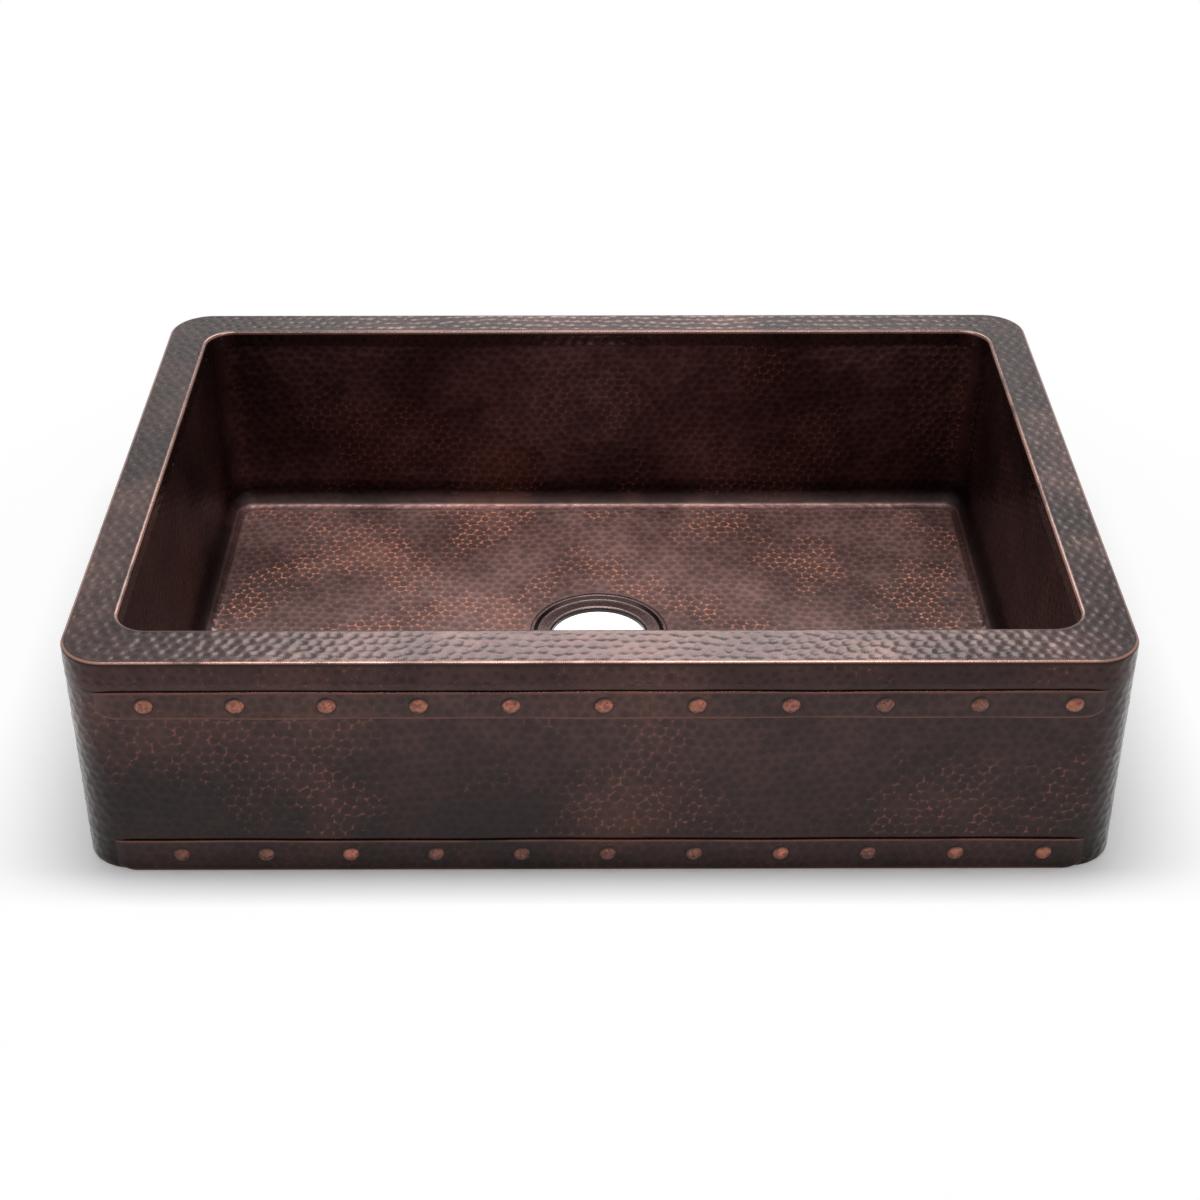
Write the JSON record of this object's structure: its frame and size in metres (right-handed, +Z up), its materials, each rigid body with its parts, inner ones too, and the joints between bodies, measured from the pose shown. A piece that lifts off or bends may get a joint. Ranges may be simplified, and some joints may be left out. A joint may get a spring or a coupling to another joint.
{
  "type": "farmhouse apron front sink",
  "caption": "Hammered copper farmhouse kitchen sink: a deep basin with a drain opening, a flat deck, and an apron front crossed by riveted straps.",
  "frame": {"origin": "on the floor under the middle of the whole sink, rivet heads included", "axes": "+Z up out of the basin, +X to the user's right along the apron, the apron faces -Y"},
  "size_m": [0.8382, 0.6148, 0.2032],
  "materials": {
    "apron_copper": "hammered copper with a dark oil-rubbed bronze patina",
    "deck_copper": "hammered copper with a worn brown patina",
    "basin_copper": "hammered copper with a dark red-brown patina",
    "strap_copper": "smooth beaten copper strap, dark patina",
    "rivet_copper": "beaten copper, worn bright on the crown",
    "drain_copper": "smooth pressed copper, dark patina",
    "plain_copper": "unfinished copper sheet, dulled"
  },
  "bodies": {
    "root": {"apron_brace_1": "plain_copper", "apron_brace_2": "plain_copper", "apron_brace_3": "plain_copper", "apron_panel": "apron_copper", "basin_floor": "basin_copper", "basin_wall_back": "basin_copper", "basin_wall_front": "basin_copper", "basin_wall_left": "basin_copper", "basin_wall_right": "basin_copper", "drain_seat": "drain_copper", "lower_rivet_burrs": "plain_copper", "lower_strap": "strap_copper", "lower_strap_rivets": "rivet_copper", "rim_deck": "deck_copper", "upper_rivet_burrs": "plain_copper", "upper_strap": "strap_copper", "upper_strap_rivets": "rivet_copper"}
  },
  "joints": []
}
